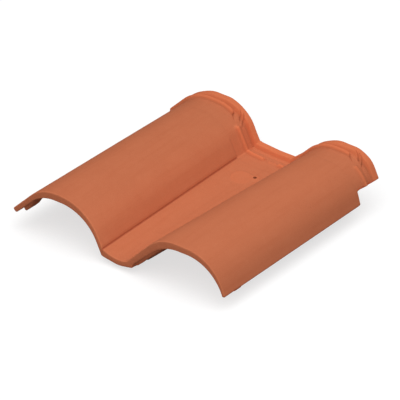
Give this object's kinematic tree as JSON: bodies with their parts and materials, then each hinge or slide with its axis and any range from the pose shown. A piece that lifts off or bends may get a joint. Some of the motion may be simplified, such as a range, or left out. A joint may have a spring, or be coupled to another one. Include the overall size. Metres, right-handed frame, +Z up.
{
  "type": "clay roof tile",
  "caption": "Interlocking clay roof tile with a flat pan between two tapered barrels, ribs across the head, nibs under it and a nail hole.",
  "frame": {"origin": "centre of the footprint, on the plane of the lowest faces, which are the foot ribs and nibs under the pan", "axes": "X across the tile, with the edge that hangs lower at -X; Y along it, from the tail (lower end on a roof) at -Y to the ribbed head at +Y; Z up, square to the pan's feet"},
  "size_m": [0.451, 0.43, 0.0988],
  "materials": {
    "fired_clay": "matte unglazed terracotta"
  },
  "bodies": {
    "root": {"roof_tile": "fired_clay"}
  },
  "joints": []
}
